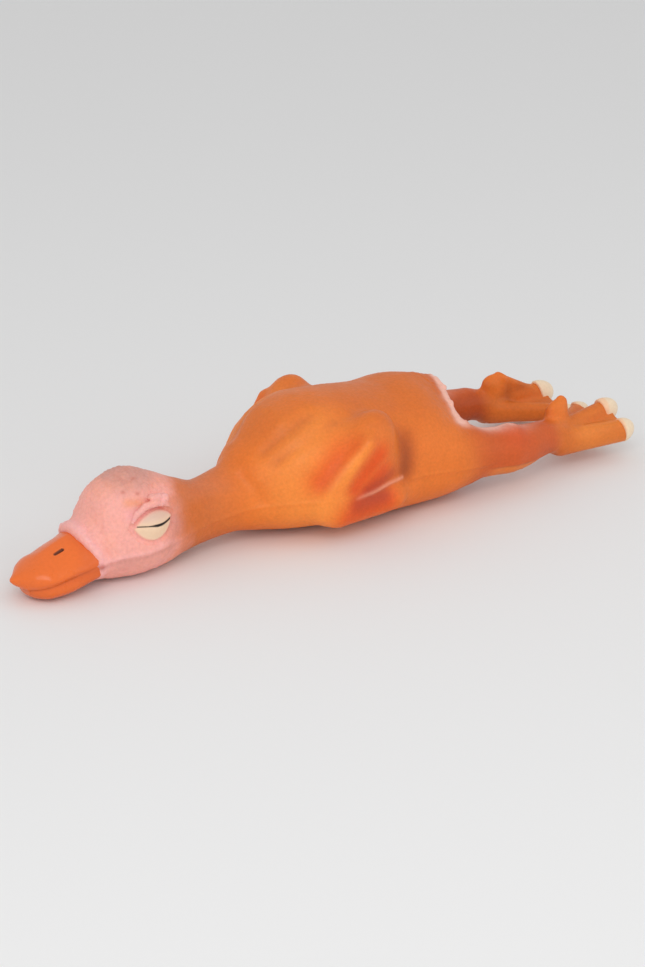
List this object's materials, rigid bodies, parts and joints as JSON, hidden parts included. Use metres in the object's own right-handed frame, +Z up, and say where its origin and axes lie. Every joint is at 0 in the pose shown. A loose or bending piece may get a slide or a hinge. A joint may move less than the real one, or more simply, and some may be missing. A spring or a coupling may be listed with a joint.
{
  "type": "rubber chicken",
  "caption": "Limp plucked rubber bird with a broad bill, closed eyes, folded wings, webbed feet and a squeaker in its belly.",
  "frame": {"origin": "on the surface that the bird lies on, below the middle of its length and width", "axes": "+X from the bill to the feet, +Y to the bird's right, +Z up, lying on its belly"},
  "size_m": [0.3854, 0.104, 0.0735],
  "materials": {
    "body_latex": "satin, finely pored, orange with a pinkish back",
    "wing_latex": "satin, orange with red-orange airbrush in the folds",
    "head_latex": "satin, wrinkled, pink airbrush",
    "bill_paint": "smooth, glossy saturated orange",
    "eyelid_paint": "satin cream with a thin black line",
    "leg_latex": "satin, orange with red-orange airbrush at the hock",
    "foot_latex": "satin orange",
    "claw_paint": "satin cream",
    "fibre": "matt loose polyester fibre",
    "squeaker_plastic": "glossy white polyethylene",
    "reed_plastic": "matt natural plastic",
    "reed_brass": "polished thin strip"
  },
  "bodies": {
    "torso": {"torso_skin": "body_latex", "left_wing": "wing_latex", "right_wing": "wing_latex", "fibre_fill": "fibre", "squeaker_housing": "squeaker_plastic", "squeaker_cover": "squeaker_plastic", "reed_block": "reed_plastic", "reed_clip": "reed_plastic"},
    "neck": {"neck_skin": "body_latex"},
    "head": {"head_skin": "head_latex", "upper_bill": "bill_paint", "lower_bill": "bill_paint", "left_eyelids": "eyelid_paint", "right_eyelids": "eyelid_paint"},
    "left_leg": {"left_leg_skin": "leg_latex"},
    "right_leg": {"right_leg_skin": "leg_latex"},
    "left_foot": {"left_foot_web": "foot_latex", "left_hallux": "foot_latex", "left_claws": "claw_paint"},
    "right_foot": {"right_foot_web": "foot_latex", "right_hallux": "foot_latex", "right_claws": "claw_paint"},
    "reed": {"reed_tongue": "reed_brass"}
  },
  "joints": [
    {"name": "neck_swing", "type": "hinge", "parent": "torso", "child": "neck", "pos_m": [-0.06, 0, 0.0265], "axis": [0, 0, 1], "range_deg": [-30, 30], "stiffness_Nm_per_rad": 0.2},
    {"name": "head_nod", "type": "hinge", "parent": "neck", "child": "head", "pos_m": [-0.098, 0, 0.023], "axis": [0, 1, 0], "range_deg": [-25, 25], "stiffness_Nm_per_rad": 0.15},
    {"name": "left_hip_swing", "type": "hinge", "parent": "torso", "child": "left_leg", "pos_m": [0.089, -0.0315, 0.024], "axis": [0, -1, 0], "range_deg": [-20, 25], "stiffness_Nm_per_rad": 0.1},
    {"name": "right_hip_swing", "type": "hinge", "parent": "torso", "child": "right_leg", "pos_m": [0.089, 0.0315, 0.024], "axis": [0, -1, 0], "range_deg": [-20, 25], "stiffness_Nm_per_rad": 0.1},
    {"name": "left_ankle_bend", "type": "hinge", "parent": "left_leg", "child": "left_foot", "pos_m": [0.139, -0.0338, 0.02], "axis": [0, -1, 0], "range_deg": [-25, 30], "stiffness_Nm_per_rad": 0.04},
    {"name": "right_ankle_bend", "type": "hinge", "parent": "right_leg", "child": "right_foot", "pos_m": [0.139, 0.0338, 0.02], "axis": [0, -1, 0], "range_deg": [-25, 30], "stiffness_Nm_per_rad": 0.04},
    {"name": "reed_flutter", "type": "hinge", "parent": "torso", "child": "reed", "pos_m": [-0.0015, 0, 0.00838], "axis": [0, 1, 0], "range_deg": [-1.5, 1.5], "stiffness_Nm_per_rad": 0.001}
  ]
}
